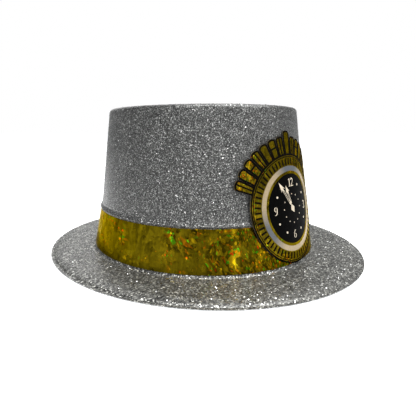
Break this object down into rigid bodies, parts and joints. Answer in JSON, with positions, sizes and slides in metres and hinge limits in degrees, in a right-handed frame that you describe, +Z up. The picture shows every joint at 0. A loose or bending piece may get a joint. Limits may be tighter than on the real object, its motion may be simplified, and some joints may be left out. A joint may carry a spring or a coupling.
{
  "type": "party hat",
  "caption": "Rigid glittered plastic top hat with an oval crown, a rolled brim, a gold film band and a printed clock badge on the front.",
  "frame": {"origin": "middle of the brim's footprint, on the plane the brim rests on", "axes": "+Z up through the crown, -Y towards the badge at the front, +X to the right seen from the front"},
  "size_m": [0.2544, 0.2804, 0.1188],
  "materials": {
    "shell_pvc": "smooth silver-grey vacuum-formed PVC, slightly glossy",
    "silver_glitter": "silver glitter flakes in clear glue",
    "holographic_band": "gold holographic film with a shattered pattern",
    "clear_tape": "double-sided tape",
    "card": "thin card, dark cut edge",
    "holographic_foil": "gold holographic foil, laminated",
    "foam": "white double-sided foam",
    "black_ink": "black print on foil",
    "bezel_print": "printed brushed-silver gradient, beige to blue-grey",
    "dial_ink": "black print",
    "cream_ink": "cream print"
  },
  "bodies": {
    "root": {"hat_shell": "shell_pvc", "glitter_coat": "silver_glitter", "hat_band": "holographic_band", "band_lap_tape": "clear_tape", "badge_card": "card", "badge_foil": "holographic_foil", "badge_foam_pads": "foam", "tab_print": "black_ink", "rim_lines": "black_ink", "rim_ticks": "black_ink", "bezel_ring": "bezel_print", "dial_face": "dial_ink", "dial_numerals": "cream_ink", "hour_dots": "cream_ink", "small_dots": "cream_ink", "minute_hand": "cream_ink", "hour_hand": "cream_ink", "hand_hub": "cream_ink"}
  },
  "joints": []
}
